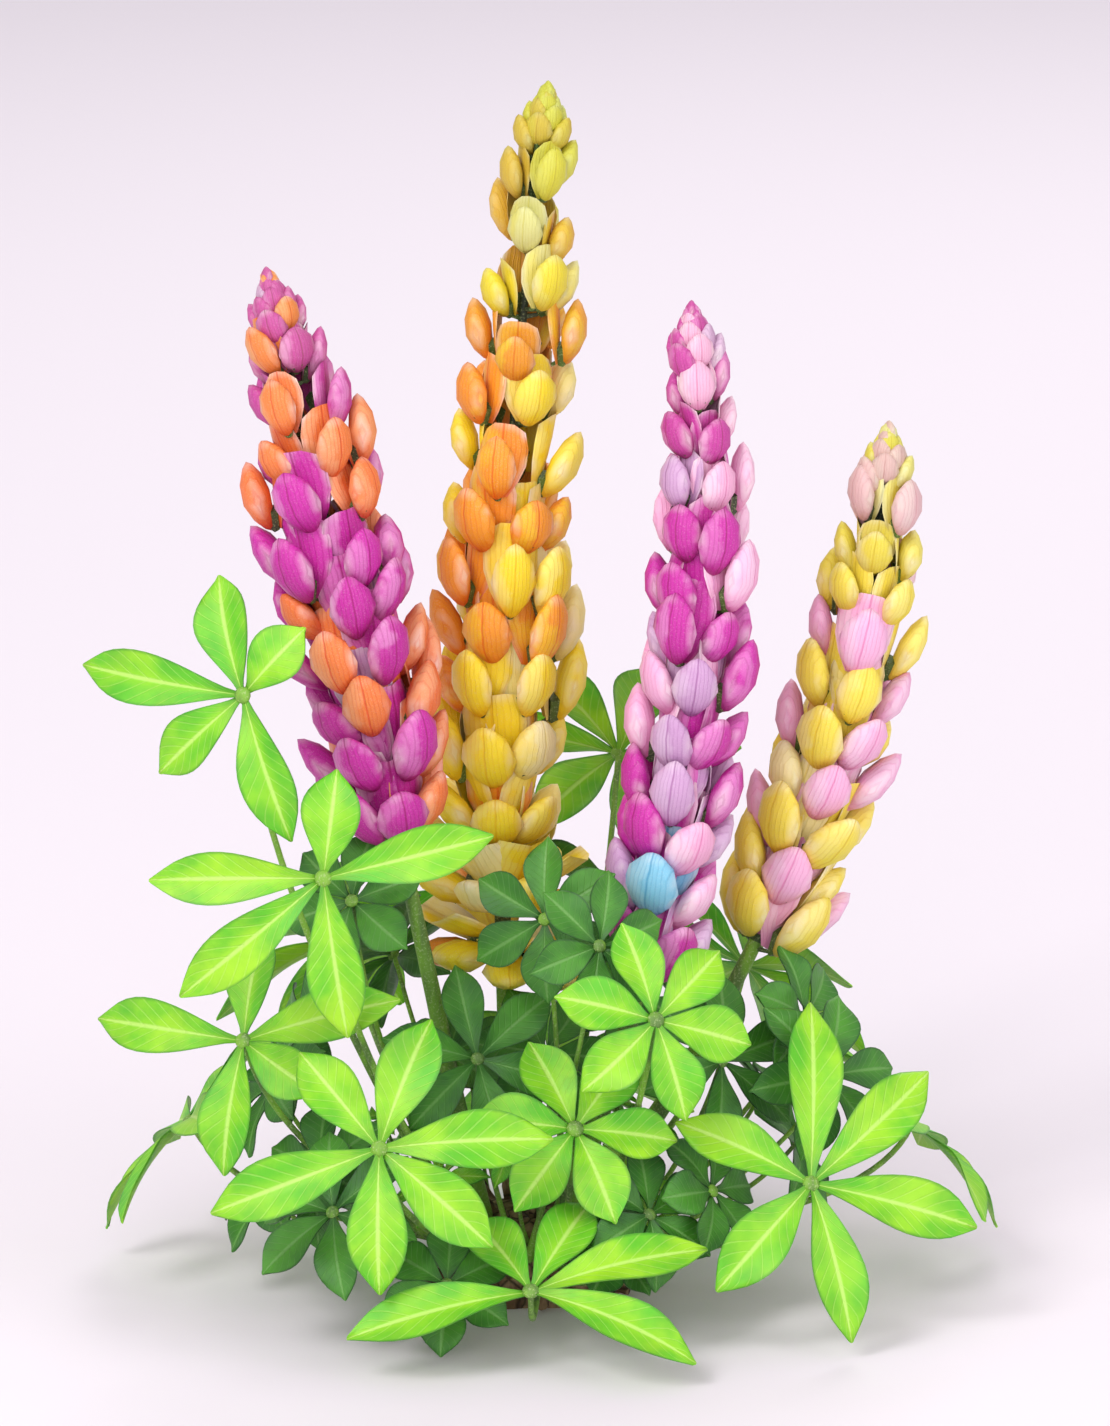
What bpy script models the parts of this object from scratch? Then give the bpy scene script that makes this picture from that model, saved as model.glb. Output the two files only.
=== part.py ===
"""Garden lupin in full flower, cut level under its woody crown and standing on it.

Four flower spikes and fourteen palmate leaves rise from one crown. The origin is the
middle of the crown's flat underside, +Z runs up the plant and -Y is its front.
"""

import math
from dataclasses import dataclass

import bmesh
import bpy
from mathutils import Matrix, Vector

CLEARANCE = 0.0004
FACET_INSET = 0.0006

CROWN_RADIUS = 0.052
CROWN_HEIGHT = 0.044
CROWN_CENTRE_Z = 0.006
CROWN_SEGMENTS = 20
CROWN_RINGS = 10

STEM_BASE_RADIUS = 0.0052
STEM_TIP_RADIUS = 0.0016
STEM_POINTS = 13

FLORETS_PER_WHORL = 5
WHORLS_PER_TIER = 2
FLORET_SEGMENTS = 5
FLORET_RINGS = 3
FLORET_WIDTH_SHARE = 0.48
LOWEST_TILT = math.radians(36)
HIGHEST_TILT = math.radians(58)
COLLAR_WALL = 0.0022
COLLAR_SIDES = 8

BUD_TIP_LENGTH = 0.034
BUD_TIP_RADIUS = 0.0085

PETIOLE_RADIUS = 0.0019
PETIOLE_POINTS = 8
PETIOLE_LOWEST_FOOT = 70
PETIOLE_REACH = 0.030
PETIOLE_DROP = 0.35

HUB_RADIUS = 0.0062
BLADE_THICKNESS = 0.0014
LEAFLET_STATIONS = (0.55, 1.0)
LEAFLET_HALF_WIDTH = 0.0145
LEAFLET_FOOT_ANGLE = math.radians(13)
LEAFLET_TIP_HALF_WIDTH = 0.003
LEAFLET_FOLD = 0.0035
LEAFLET_CUP = math.radians(9)


@dataclass(frozen=True)
class Spike:
    """One flower spike: where its stem leaves the crown, how it bends, where it flowers."""

    name: str
    foot_azimuth: float
    foot_angle: float
    bend: Vector
    tip: Vector
    first_flower: float
    tiers: int
    radius: float
    colour: tuple

    def foot(self):
        return crown_point(self.foot_azimuth, self.foot_angle)


@dataclass(frozen=True)
class Leaf:
    """One palmate leaf: its hub, which way its face looks, and its ring of leaflets."""

    name: str
    foot_azimuth: float
    hub: Vector
    facing: float
    tilt: float
    leaflets: tuple

    def normal(self):
        """The direction that the upper face looks in: up, leaned outward by the tilt."""
        flat = math.sin(math.radians(self.tilt))
        azimuth = math.radians(self.facing)
        return Vector(
            (
                flat * math.cos(azimuth),
                flat * math.sin(azimuth),
                math.cos(math.radians(self.tilt)),
            )
        )

    def bend(self):
        """The petiole's control point, behind the hub and well below it."""
        drop = Vector((0, 0, PETIOLE_DROP * self.hub.z))
        return self.hub - self.normal() * PETIOLE_REACH - drop

    def foot(self):
        """Where the petiole leaves the crown: the higher the leaf, the nearer the top."""
        return crown_point(self.foot_azimuth, PETIOLE_LOWEST_FOOT - 65 * self.hub.z)


SPIKES = (
    Spike(
        name="left_spike",
        foot_azimuth=205,
        foot_angle=34,
        bend=Vector((-0.064, -0.048, 0.245)),
        tip=Vector((-0.124, -0.030, 0.502)),
        first_flower=0.47,
        tiers=5,
        radius=0.047,
        colour=(0.57, 0.07, 0.39),
    ),
    Spike(
        name="centre_spike",
        foot_azimuth=110,
        foot_angle=26,
        bend=Vector((-0.028, 0.042, 0.310)),
        tip=Vector((0.005, 0.025, 0.586)),
        first_flower=0.225,
        tiers=7,
        radius=0.045,
        colour=(0.85, 0.62, 0.06),
    ),
    Spike(
        name="right_centre_spike",
        foot_azimuth=300,
        foot_angle=34,
        bend=Vector((0.098, -0.040, 0.260)),
        tip=Vector((0.082, -0.028, 0.484)),
        first_flower=0.30,
        tiers=6,
        radius=0.038,
        colour=(0.68, 0.08, 0.40),
    ),
    Spike(
        name="right_spike",
        foot_azimuth=20,
        foot_angle=38,
        bend=Vector((0.160, 0.030, 0.205)),
        tip=Vector((0.178, 0.025, 0.412)),
        first_flower=0.38,
        tiers=5,
        radius=0.041,
        colour=(0.86, 0.60, 0.42),
    ),
)


def ring(count, first, length):
    """Leaflets of one length at even steps round the hub: (angle, length) pairs."""
    return tuple((first + 360 * index / count, length) for index in range(count))


LEAVES = (
    Leaf(
        name="leaf_front_low",
        foot_azimuth=275,
        hub=Vector((0.000, -0.152, 0.042)),
        facing=270,
        tilt=36,
        leaflets=((19, 94), (62, 66), (120, 58), (196, 94), (338, 90)),
    ),
    Leaf(
        name="leaf_front_left",
        foot_azimuth=252,
        hub=Vector((-0.075, -0.142, 0.113)),
        facing=266,
        tilt=66,
        leaflets=((7, 86), (73, 70), (130, 64), (203, 90), (270, 72), (322, 74)),
    ),
    Leaf(
        name="leaf_left_low",
        foot_azimuth=214,
        hub=Vector((-0.144, -0.078, 0.150)),
        facing=244,
        tilt=66,
        leaflets=((22, 84), (92, 58), (180, 88), (270, 68), (334, 50)),
    ),
    Leaf(
        name="leaf_left_middle",
        foot_azimuth=233,
        hub=Vector((-0.102, -0.136, 0.250)),
        facing=264,
        tilt=78,
        leaflets=((15, 86), (82, 54), (180, 88), (222, 94), (279, 80)),
    ),
    Leaf(
        name="leaf_left_high",
        foot_azimuth=195,
        hub=Vector((-0.142, -0.100, 0.334)),
        facing=246,
        tilt=76,
        leaflets=((50, 46), (112, 62), (178, 94), (226, 62), (296, 76)),
    ),
    Leaf(
        name="leaf_right_low",
        foot_azimuth=322,
        hub=Vector((0.140, -0.100, 0.082)),
        facing=286,
        tilt=58,
        leaflets=((34, 92), (80, 98), (147, 74), (221, 74), (278, 82), (341, 90)),
    ),
    Leaf(
        name="leaf_middle_low",
        foot_azimuth=286,
        hub=Vector((0.022, -0.098, 0.110)),
        facing=276,
        tilt=56,
        leaflets=ring(6, 52, 52),
    ),
    Leaf(
        name="leaf_middle_high",
        foot_azimuth=304,
        hub=Vector((0.062, -0.110, 0.170)),
        facing=288,
        tilt=64,
        leaflets=ring(6, 40, 52),
    ),
    Leaf(
        name="leaf_right_side",
        foot_azimuth=8,
        hub=Vector((0.196, 0.030, 0.074)),
        facing=12,
        tilt=46,
        leaflets=ring(6, 32, 76),
    ),
    Leaf(
        name="leaf_back_right",
        foot_azimuth=46,
        hub=Vector((0.112, 0.128, 0.132)),
        facing=52,
        tilt=52,
        leaflets=ring(7, 15, 80),
    ),
    Leaf(
        name="leaf_back_low",
        foot_azimuth=94,
        hub=Vector((0.010, 0.150, 0.070)),
        facing=88,
        tilt=46,
        leaflets=ring(7, 0, 82),
    ),
    Leaf(
        name="leaf_back_left",
        foot_azimuth=134,
        hub=Vector((-0.098, 0.122, 0.150)),
        facing=128,
        tilt=56,
        leaflets=ring(7, 20, 82),
    ),
    Leaf(
        name="leaf_left_side",
        foot_azimuth=176,
        hub=Vector((-0.176, 0.024, 0.078)),
        facing=172,
        tilt=48,
        leaflets=ring(6, 25, 76),
    ),
    Leaf(
        name="leaf_back_high",
        foot_azimuth=72,
        hub=Vector((0.045, 0.128, 0.246)),
        facing=74,
        tilt=62,
        leaflets=ring(7, 10, 72),
    ),
)


def clear_scene():
    """Removes whatever the scene holds."""
    for item in list(bpy.data.objects):
        bpy.data.objects.remove(item, do_unlink=True)


def new_collection(name):
    collection = bpy.data.collections.new(name)
    bpy.context.scene.collection.children.link(collection)
    return collection


def plain_material(name, colour, roughness):
    """A Principled material of one colour, with no metal in it."""
    material = bpy.data.materials.new(name)
    material.use_nodes = True
    shader = material.node_tree.nodes["Principled BSDF"]
    shader.inputs["Base Color"].default_value = (*colour, 1.0)
    shader.inputs["Roughness"].default_value = roughness
    shader.inputs["Metallic"].default_value = 0.0
    return material


def crown_point(azimuth, angle):
    """A point on the crown's dome, by its compass angle and its angle down from the top."""
    around, down = math.radians(azimuth), math.radians(angle)
    return Vector(
        (
            CROWN_RADIUS * math.sin(down) * math.cos(around),
            CROWN_RADIUS * math.sin(down) * math.sin(around),
            CROWN_CENTRE_Z + (CROWN_HEIGHT - CROWN_CENTRE_Z) * math.cos(down),
        )
    )


def crown_normal(point):
    """The way out of the dome at a point on it."""
    rise = CROWN_HEIGHT - CROWN_CENTRE_Z
    return Vector(
        (
            point.x / CROWN_RADIUS**2,
            point.y / CROWN_RADIUS**2,
            (point.z - CROWN_CENTRE_Z) / rise**2,
        )
    ).normalized()


def bezier(start, bend, end, t):
    """A point on the quadratic curve that a stem or a petiole follows."""
    return start * (1 - t) ** 2 + bend * (2 * t * (1 - t)) + end * t**2


def tangent(start, bend, end, t):
    return ((bend - start) * (1 - t) + (end - bend) * t).normalized()


def seated_foot(foot, bend, radius):
    """Lifts a tube's foot off the dome until its slanted end just clears it."""
    normal = crown_normal(foot)
    lean = normal.angle((bend - foot).normalized())
    return foot + normal * (CLEARANCE - FACET_INSET + radius * math.sin(lean))


def stem_radius(t):
    return STEM_BASE_RADIUS + (STEM_TIP_RADIUS - STEM_BASE_RADIUS) * t


def turned_to(origin, direction, azimuth=0.0):
    """A frame at origin whose Z runs along direction, turned about it by azimuth."""
    turn = direction.to_track_quat("Z", "Y").to_matrix().to_4x4()
    return Matrix.Translation(origin) @ turn @ Matrix.Rotation(azimuth, 4, "Z")


def mesh_object(name, mesh, collection, material):
    item = bpy.data.objects.new(name, mesh)
    collection.objects.link(item)
    mesh.materials.clear()
    mesh.materials.append(material)
    return item


def finished_mesh(name, shape):
    """Turns a bmesh into a mesh whose faces look outward."""
    bmesh.ops.recalc_face_normals(shape, faces=shape.faces)
    mesh = bpy.data.meshes.new(name)
    shape.to_mesh(mesh)
    shape.free()
    mesh.shade_smooth()
    mesh.set_sharp_from_angle(angle=math.radians(50))
    return mesh


def tube(name, points, radii, sides, collection, material):
    """A tapering round stalk along the points, with flat ends."""
    curve = bpy.data.curves.new(name, "CURVE")
    curve.dimensions = "3D"
    curve.bevel_depth = radii[0]
    curve.bevel_resolution = sides // 2 - 2
    curve.use_fill_caps = True
    spline = curve.splines.new("POLY")
    spline.points.add(len(points) - 1)
    for place, point, radius in zip(spline.points, points, radii):
        place.co = (*point, 1.0)
        place.radius = radius / radii[0]
    item = bpy.data.objects.new(name, curve)
    collection.objects.link(item)
    curve.materials.append(material)
    return item


def build_crown(collection, material):
    """The woody crown: a low dome, cut level where it left the ground."""
    shape = bmesh.new()
    bmesh.ops.create_uvsphere(
        shape, u_segments=CROWN_SEGMENTS, v_segments=CROWN_RINGS, radius=1.0
    )
    rise = CROWN_HEIGHT - CROWN_CENTRE_Z
    bmesh.ops.scale(shape, vec=(CROWN_RADIUS, CROWN_RADIUS, rise), verts=shape.verts)
    bmesh.ops.translate(shape, vec=(0, 0, CROWN_CENTRE_Z), verts=shape.verts)
    cut = bmesh.ops.bisect_plane(
        shape,
        geom=shape.verts[:] + shape.edges[:] + shape.faces[:],
        plane_co=(0, 0, 0),
        plane_no=(0, 0, 1),
        clear_inner=True,
    )
    rim = [part for part in cut["geom_cut"] if isinstance(part, bmesh.types.BMEdge)]
    bmesh.ops.contextual_create(shape, geom=rim)
    mesh_object("crown", finished_mesh("crown", shape), collection, material)


def build_stem(spike, collection, material):
    foot = seated_foot(spike.foot(), spike.bend, STEM_BASE_RADIUS)
    shares = [step / (STEM_POINTS - 1) for step in range(STEM_POINTS)]
    points = [bezier(foot, spike.bend, spike.tip, share) for share in shares]
    radii = [stem_radius(share) for share in shares]
    tube(f"{spike.name}_stem", points, radii, 8, collection, material)


def whorl_shares(spike):
    """Where each whorl sits along the stem, evenly from the first flower to the tip."""
    count = spike.tiers * WHORLS_PER_TIER
    step = (1 - spike.first_flower) / count
    return [spike.first_flower + step * (index + 0.15) for index in range(count)]


def spread(height):
    """The flower head's radius as a share of its widest, by height from 0 to 1."""
    return 1 - 0.18 * (1 - height) ** 4 - 0.60 * height**2.2


def add_floret(shape, place, reach, tilt, girth):
    """One floret: a pod that leans up from the stem, slim at its foot and full at its head."""
    made = bmesh.ops.create_uvsphere(
        shape, u_segments=FLORET_SEGMENTS, v_segments=FLORET_RINGS, radius=1.0
    )
    length = reach / math.cos(tilt)
    for vert in made["verts"]:
        along = 0.5 * (vert.co.z + 1)
        fullness = 0.55 + 0.60 * along
        vert.co = Vector(
            (
                vert.co.x * girth * 0.5 * fullness,
                vert.co.y * length * FLORET_WIDTH_SHARE * 0.5 * fullness,
                along * length,
            )
        )
    lean = Matrix.Rotation(math.pi / 2 - tilt, 4, "Y")
    bmesh.ops.transform(shape, matrix=place @ lean, verts=made["verts"])


def collar(spike, foot, low, high):
    """The sleeve of stalk bases around the stem, from which a tier's florets spring."""
    start = bezier(foot, spike.bend, spike.tip, low)
    end = bezier(foot, spike.bend, spike.tip, high)
    flat = math.cos(math.pi / COLLAR_SIDES)
    inner_low = (stem_radius(low) + CLEARANCE) / flat
    inner_high = (stem_radius(high) + CLEARANCE) / flat
    height = (end - start).length
    shape = bmesh.new()
    profile = [
        shape.verts.new((inner_low, 0, 0)),
        shape.verts.new((inner_low + COLLAR_WALL, 0, 0)),
        shape.verts.new((inner_high + COLLAR_WALL, 0, height)),
        shape.verts.new((inner_high, 0, height)),
    ]
    ring = [
        shape.edges.new((profile[index], profile[(index + 1) % 4])) for index in range(4)
    ]
    bmesh.ops.spin(
        shape,
        geom=profile + ring,
        cent=(0, 0, 0),
        axis=(0, 0, 1),
        angle=2 * math.pi,
        steps=COLLAR_SIDES,
        use_merge=True,
    )
    bmesh.ops.transform(shape, matrix=turned_to(start, end - start), verts=shape.verts)
    return shape


def build_tier(spike, number, collection, cutters, material):
    """Two staggered whorls of florets on one collar, joined in a single solid."""
    foot = seated_foot(spike.foot(), spike.bend, STEM_BASE_RADIUS)
    shares = whorl_shares(spike)
    step = shares[1] - shares[0]
    first = number * WHORLS_PER_TIER
    name = f"{spike.name}_tier_{number + 1}"
    low = shares[first] - 0.25 * step
    high = shares[first + WHORLS_PER_TIER - 1] + 0.25 * step
    tier = mesh_object(
        name,
        finished_mesh(name, collar(spike, foot, low, high)),
        collection,
        material,
    )
    florets = bmesh.new()
    for index in range(first, first + WHORLS_PER_TIER):
        share = shares[index]
        height = (share - spike.first_flower) / (1 - spike.first_flower)
        tilt = LOWEST_TILT + (HIGHEST_TILT - LOWEST_TILT) * height
        core = stem_radius(share) + CLEARANCE + 0.6 * COLLAR_WALL
        spacing = (spike.tip - spike.bend).length * 2 * step
        for turn in range(FLORETS_PER_WHORL):
            azimuth = 2 * math.pi * (turn + 0.5 * (index % 2)) / FLORETS_PER_WHORL
            frame = turned_to(
                bezier(foot, spike.bend, spike.tip, share),
                tangent(foot, spike.bend, spike.tip, share),
                azimuth,
            )
            add_floret(
                florets,
                frame @ Matrix.Translation((core, 0, 0)),
                spike.radius * spread(height) - core,
                tilt,
                0.72 * spacing * math.cos(tilt),
            )
    cutter = mesh_object(
        f"{name}_florets", finished_mesh(f"{name}_florets", florets), cutters, material
    )
    cutter.hide_render = True
    cutter.display_type = "WIRE"
    union = tier.modifiers.new("Florets", "BOOLEAN")
    union.operation = "UNION"
    union.use_self = True
    union.object = cutter


def build_bud_tip(spike, collection, material):
    """The cone of closed buds that tops the stem."""
    way = tangent(spike.foot(), spike.bend, spike.tip, 1.0)
    shape = bmesh.new()
    bmesh.ops.create_uvsphere(shape, u_segments=8, v_segments=6, radius=1.0)
    for vert in shape.verts:
        along = 0.5 * (vert.co.z + 1)
        girth = BUD_TIP_RADIUS * (1.25 - 0.75 * along)
        vert.co = Vector((vert.co.x * girth, vert.co.y * girth, along * BUD_TIP_LENGTH))
    place = turned_to(spike.tip + way * CLEARANCE, way)
    bmesh.ops.transform(shape, matrix=place, verts=shape.verts)
    name = f"{spike.name}_bud_tip"
    mesh_object(name, finished_mesh(name, shape), collection, material)


def build_petiole(leaf, collection, material):
    """The long leaf stalk, from the crown to just short of the hub's underside."""
    bend = leaf.bend()
    foot = seated_foot(leaf.foot(), bend, PETIOLE_RADIUS)
    lean = leaf.normal().angle((leaf.hub - bend).normalized())
    gap = 0.5 * BLADE_THICKNESS + CLEARANCE + 0.7 * PETIOLE_RADIUS * math.sin(lean)
    end = leaf.hub - leaf.normal() * gap
    shares = [step / (PETIOLE_POINTS - 1) for step in range(PETIOLE_POINTS)]
    points = [bezier(foot, bend, end, share) for share in shares]
    radii = [PETIOLE_RADIUS * (1 - 0.3 * share) for share in shares]
    tube(f"{leaf.name}_petiole", points, radii, 6, collection, material)


def leaflet_place(azimuth, length, along, side):
    """A leaflet's right edge, fold or left edge (side -1, 0 or 1) at a share of its length."""
    widest = LEAFLET_HALF_WIDTH if along < 1 else LEAFLET_TIP_HALF_WIDTH
    out = HUB_RADIUS + along * (length - HUB_RADIUS)
    lift = out * math.tan(LEAFLET_CUP) - 0.25 * out * along
    fold = LEAFLET_FOLD * abs(side) * (1 if along < 1 else 0.3)
    point = Vector((out, side * widest, lift + fold))
    return Matrix.Rotation(azimuth, 3, "Z") @ point


def hub_place(azimuth, side):
    """The hub's rim at a leaflet's foot, on the same three lines as the leaflet."""
    angle = azimuth + side * LEAFLET_FOOT_ANGLE
    return Vector((HUB_RADIUS * math.cos(angle), HUB_RADIUS * math.sin(angle), 0))


def build_blade(leaf, collection, material):
    """A round hub with leaflets drawn out of it all round, each folded along its midrib."""
    shape = bmesh.new()
    bmesh.ops.create_circle(
        shape, cap_ends=True, segments=3 * len(leaf.leaflets), radius=HUB_RADIUS
    )
    turn = 2 * math.pi
    rim = sorted(shape.verts, key=lambda vert: math.atan2(vert.co.y, vert.co.x) % turn)
    for number, (degrees, millimetres) in enumerate(leaf.leaflets):
        azimuth = math.radians(degrees)
        length = millimetres / 1000
        row = rim[3 * number : 3 * number + 3]
        for side, vert in zip((-1, 0, 1), row):
            vert.co = hub_place(azimuth, side)
        for along in LEAFLET_STATIONS:
            edges = [
                next(edge for edge in shape.edges if {*row[i : i + 2]} == {*edge.verts})
                for i in range(2)
            ]
            made = bmesh.ops.extrude_edge_only(shape, edges=edges)
            fresh = [part for part in made["geom"] if isinstance(part, bmesh.types.BMVert)]
            row = [
                min(fresh, key=lambda vert, old=old: (vert.co - old.co).length)
                for old in row
            ]
            for side, vert in zip((-1, 0, 1), row):
                vert.co = leaflet_place(azimuth, length, along, side)
    bmesh.ops.transform(shape, matrix=turned_to(leaf.hub, leaf.normal()), verts=shape.verts)
    name = f"{leaf.name}_blade"
    item = mesh_object(name, finished_mesh(name, shape), collection, material)
    skin = item.modifiers.new("Thickness", "SOLIDIFY")
    skin.thickness = BLADE_THICKNESS
    skin.offset = 0.0


def main():
    clear_scene()
    plant = new_collection("lupin_plant")
    cutters = new_collection("cutters")
    bark = plain_material("crown_bark", (0.20, 0.13, 0.07), 0.85)
    stem_green = plain_material("stem_green", (0.22, 0.42, 0.08), 0.55)
    leaf_green = plain_material("leaf_green", (0.24, 0.62, 0.05), 0.6)
    bud_green = plain_material("bud_green", (0.52, 0.62, 0.10), 0.6)
    build_crown(plant, bark)
    for spike in SPIKES:
        petals = plain_material(f"{spike.name}_petals", spike.colour, 0.6)
        build_stem(spike, plant, stem_green)
        for number in range(spike.tiers):
            build_tier(spike, number, plant, cutters, petals)
        build_bud_tip(spike, plant, bud_green)
    for leaf in LEAVES:
        build_petiole(leaf, plant, stem_green)
        build_blade(leaf, plant, leaf_green)


main()
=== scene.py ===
"""The looks of a garden lupin in flower: petals, buds, leaves, stalks and crown.

Every piece is in metres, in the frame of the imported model: +Z runs up the plant, -Y is
its front and the origin is the middle of the crown's flat underside.
"""

from __future__ import annotations

import logging
import math
import random
from dataclasses import dataclass, field, replace
from enum import Enum
from typing import Callable, Union

import bmesh
import bpy
from mathutils import Matrix, Vector, noise

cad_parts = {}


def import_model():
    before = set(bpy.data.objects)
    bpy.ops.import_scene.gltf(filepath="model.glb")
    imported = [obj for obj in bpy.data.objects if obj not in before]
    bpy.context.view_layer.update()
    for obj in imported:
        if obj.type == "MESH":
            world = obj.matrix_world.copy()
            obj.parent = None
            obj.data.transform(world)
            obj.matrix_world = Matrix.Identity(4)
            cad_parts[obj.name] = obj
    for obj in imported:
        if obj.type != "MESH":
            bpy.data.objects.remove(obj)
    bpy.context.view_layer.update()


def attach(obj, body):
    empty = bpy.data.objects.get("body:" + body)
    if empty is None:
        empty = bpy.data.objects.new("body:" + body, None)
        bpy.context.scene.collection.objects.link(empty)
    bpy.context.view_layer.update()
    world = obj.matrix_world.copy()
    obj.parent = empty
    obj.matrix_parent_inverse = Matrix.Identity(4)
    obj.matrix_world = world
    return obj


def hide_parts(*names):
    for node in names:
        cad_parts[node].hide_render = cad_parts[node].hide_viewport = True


log = logging.getLogger("lupin")

Colour = tuple[float, float, float]
Number = Union[float, "Field"]
Shape = bmesh.types.BMesh
Material = bpy.types.Material

# Each leaflet's angle round the hub, in degrees, and its length, in millimetres.
Leaflets = tuple[tuple[float, float], ...]
# A young leaf's compass angle, its hub's distance out from the axis and its height.
YoungPlace = tuple[float, float, float]
# An inner leaf's foot angle, hub, facing, tilt, first leaflet's angle and their length.
InnerPlace = tuple[float, tuple[float, float, float], float, float, float, float]

BUMP_STRENGTH = 0.6

# The angles past which an edge stays sharp, in degrees.
STALK_CREASE = 50.0
BARK_CREASE = 60.0
PETAL_CREASE = 70.0
LEAF_CREASE = 80.0

# The numbers that the points of petals and of leaves hold for the shaders.
PETAL_LAYERS = ("along", "across", "tone", "unripe", "flush")
LEAF_LAYERS = ("along", "across", "fresh")


class Slot(Enum):
    """Names for four material slots."""

    BARK = "crown_bark"
    STEM = "stem_green"
    LEAF = "leaf_green"
    BUD = "bud_green"


class Tone(Enum):
    """One of a spike's four petal colours, as its place on the colour ramp."""

    FIRST = 0.125
    SECOND = 0.375
    THIRD = 0.625
    FOURTH = 0.875


class Field:
    """A number on its way through a shader, with arithmetic on it."""

    def __init__(self, board: Board, socket: bpy.types.NodeSocket) -> None:
        """Keeps the socket that the number comes out of."""
        self.board = board
        self.socket = socket

    def __add__(self, other: Number) -> Field:
        """Adds."""
        return self.board.maths("ADD", self, other)

    def __radd__(self, other: Number) -> Field:
        """Adds, the other way round."""
        return self.board.maths("ADD", other, self)

    def __sub__(self, other: Number) -> Field:
        """Takes away."""
        return self.board.maths("SUBTRACT", self, other)

    def __rsub__(self, other: Number) -> Field:
        """Is taken away from a number."""
        return self.board.maths("SUBTRACT", other, self)

    def __mul__(self, other: Number) -> Field:
        """Multiplies."""
        return self.board.maths("MULTIPLY", self, other)

    def __rmul__(self, other: Number) -> Field:
        """Multiplies, the other way round."""
        return self.board.maths("MULTIPLY", other, self)

    def __abs__(self) -> Field:
        """Drops the sign."""
        return self.board.maths("ABSOLUTE", self, 0.0)

    def sine(self) -> Field:
        """Takes the sine, in radians."""
        return self.board.maths("SINE", self, 0.0)

    def between(self, low: float, high: float) -> Field:
        """A smooth step from 0 at low to 1 at high.

        Args:
            low: Where the step begins.
            high: Where it ends.

        Returns:
            The step, held within 0 and 1.
        """
        return self.board.node(
            "ShaderNodeMapRange",
            "Result",
            {"interpolation_type": "SMOOTHSTEP"},
            {"Value": self, "From Min": low, "From Max": high},
        )


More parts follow.
